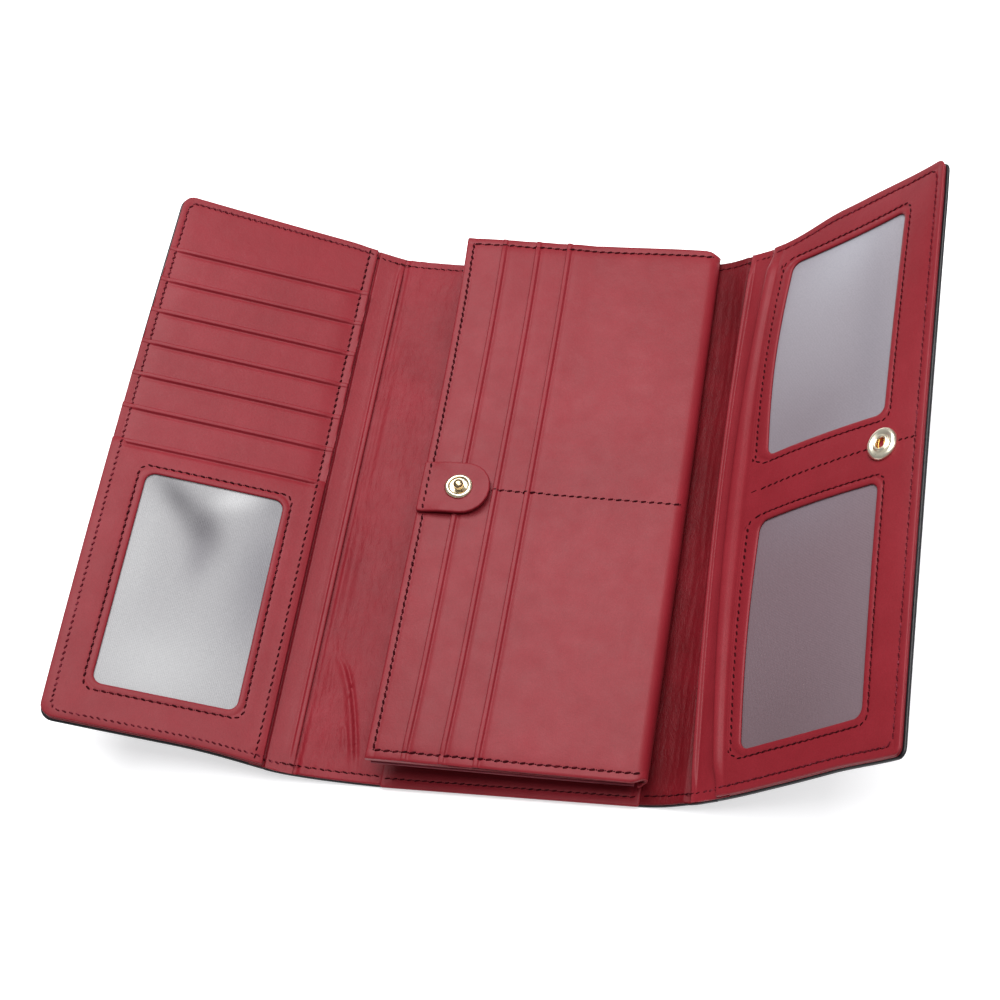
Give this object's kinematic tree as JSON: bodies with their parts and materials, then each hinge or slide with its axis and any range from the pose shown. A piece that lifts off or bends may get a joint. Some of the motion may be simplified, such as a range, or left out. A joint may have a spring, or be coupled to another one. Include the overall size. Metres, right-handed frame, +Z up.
{
  "type": "trifold long wallet",
  "caption": "Trifold long wallet lying open: boards with card slots and window pockets fold over a middle panel with a half-raised leaf and a ring snap.",
  "frame": {"origin": "centre of the middle panel's underside, between the two ends, on the surface that the wallet lies on", "axes": "+Z up out of the open wallet; X across the three panels, the window board on +X and the card board on -X; Y along the fold lines"},
  "size_m": [0.2634, 0.1956, 0.0561],
  "materials": {
    "lining_left_fold": "smooth wine-red leather, fine grain",
    "lining_centre": "smooth wine-red leather, fine grain",
    "lining_right_fold": "smooth wine-red leather, fine grain",
    "left_slip_panel": "smooth wine-red leather, fine grain",
    "left_card_backing": "smooth wine-red leather, fine grain",
    "left_card_slot_1": "smooth wine-red leather, fine grain",
    "left_card_slot_2": "smooth wine-red leather, fine grain",
    "left_card_slot_3": "smooth wine-red leather, fine grain",
    "left_card_slot_4": "smooth wine-red leather, fine grain",
    "left_card_slot_5": "smooth wine-red leather, fine grain",
    "left_card_slot_6": "smooth wine-red leather, fine grain",
    "left_window_panel": "smooth wine-red leather, fine grain",
    "right_slip_panel": "smooth wine-red leather, fine grain",
    "right_window_panel": "smooth wine-red leather, fine grain",
    "base_page": "smooth wine-red leather, fine grain",
    "leaf_under_panel": "smooth wine-red leather, fine grain",
    "leaf_board": "smooth wine-red leather, fine grain",
    "leaf_slot_1": "smooth wine-red leather, fine grain",
    "leaf_slot_2": "smooth wine-red leather, fine grain",
    "leaf_front_panel": "smooth wine-red leather, fine grain",
    "leaf_spine": "smooth wine-red leather, fine grain",
    "snap_tab": "smooth wine-red leather, fine grain",
    "outer_left_wing": "smooth dark cover leather, soft sheen",
    "outer_left_fold": "smooth dark cover leather, soft sheen",
    "outer_centre": "smooth dark cover leather, soft sheen",
    "outer_right_fold": "smooth dark cover leather, soft sheen",
    "outer_right_wing": "smooth dark cover leather, soft sheen",
    "left_window_film": "frosted window film",
    "right_window_film_upper": "frosted window film",
    "right_window_film_lower": "frosted window film",
    "snap_stud": "pale gold plating",
    "snap_socket": "pale gold plating",
    "snap_stud_washer": "plain plated metal",
    "snap_socket_washer": "plain plated metal"
  },
  "bodies": {
    "centre": {"outer_centre": "outer_centre", "lining_centre": "lining_centre", "base_page": "base_page", "leaf_under_panel": "leaf_under_panel", "leaf_board": "leaf_board", "leaf_slot_1": "leaf_slot_1", "leaf_slot_2": "leaf_slot_2", "leaf_front_panel": "leaf_front_panel", "leaf_spine": "leaf_spine", "snap_tab": "snap_tab", "snap_stud": "snap_stud", "snap_stud_washer": "snap_stud_washer"},
    "left_fold": {"outer_left_fold": "outer_left_fold", "lining_left_fold": "lining_left_fold"},
    "left_board": {"outer_left_wing": "outer_left_wing", "left_slip_panel": "left_slip_panel", "left_card_backing": "left_card_backing", "left_card_slot_1": "left_card_slot_1", "left_card_slot_2": "left_card_slot_2", "left_card_slot_3": "left_card_slot_3", "left_card_slot_4": "left_card_slot_4", "left_card_slot_5": "left_card_slot_5", "left_card_slot_6": "left_card_slot_6", "left_window_panel": "left_window_panel", "left_window_film": "left_window_film"},
    "right_fold": {"outer_right_fold": "outer_right_fold", "lining_right_fold": "lining_right_fold"},
    "right_board": {"outer_right_wing": "outer_right_wing", "right_slip_panel": "right_slip_panel", "right_window_panel": "right_window_panel", "right_window_film_upper": "right_window_film_upper", "right_window_film_lower": "right_window_film_lower", "snap_socket": "snap_socket", "snap_socket_washer": "snap_socket_washer"}
  },
  "joints": [
    {"name": "left_fold_hinge", "type": "hinge", "parent": "centre", "child": "left_fold", "pos_m": [-0.0436, 0, 0.0018], "axis": [0, 1, 0], "range_deg": [-8.5, 77]},
    {"name": "left_board_hinge", "type": "hinge", "parent": "left_fold", "child": "left_board", "pos_m": [-0.068, 0, 0.00535], "axis": [0, 1, 0], "range_deg": [-8, 72.4]},
    {"name": "right_fold_hinge", "type": "hinge", "parent": "centre", "child": "right_fold", "pos_m": [0.045, 0, 0.0018], "axis": [0, -1, 0], "range_deg": [-15, 65]},
    {"name": "right_board_hinge", "type": "hinge", "parent": "right_fold", "child": "right_board", "pos_m": [0.0567, 0, 0.00726], "axis": [0, -1, 0], "range_deg": [-16.7, 72.3]}
  ],
  "couplings": [
    {"joint": "left_board_hinge", "follows": "left_fold_hinge", "ratio": 0.94},
    {"joint": "right_board_hinge", "follows": "right_fold_hinge", "ratio": 1.111}
  ]
}
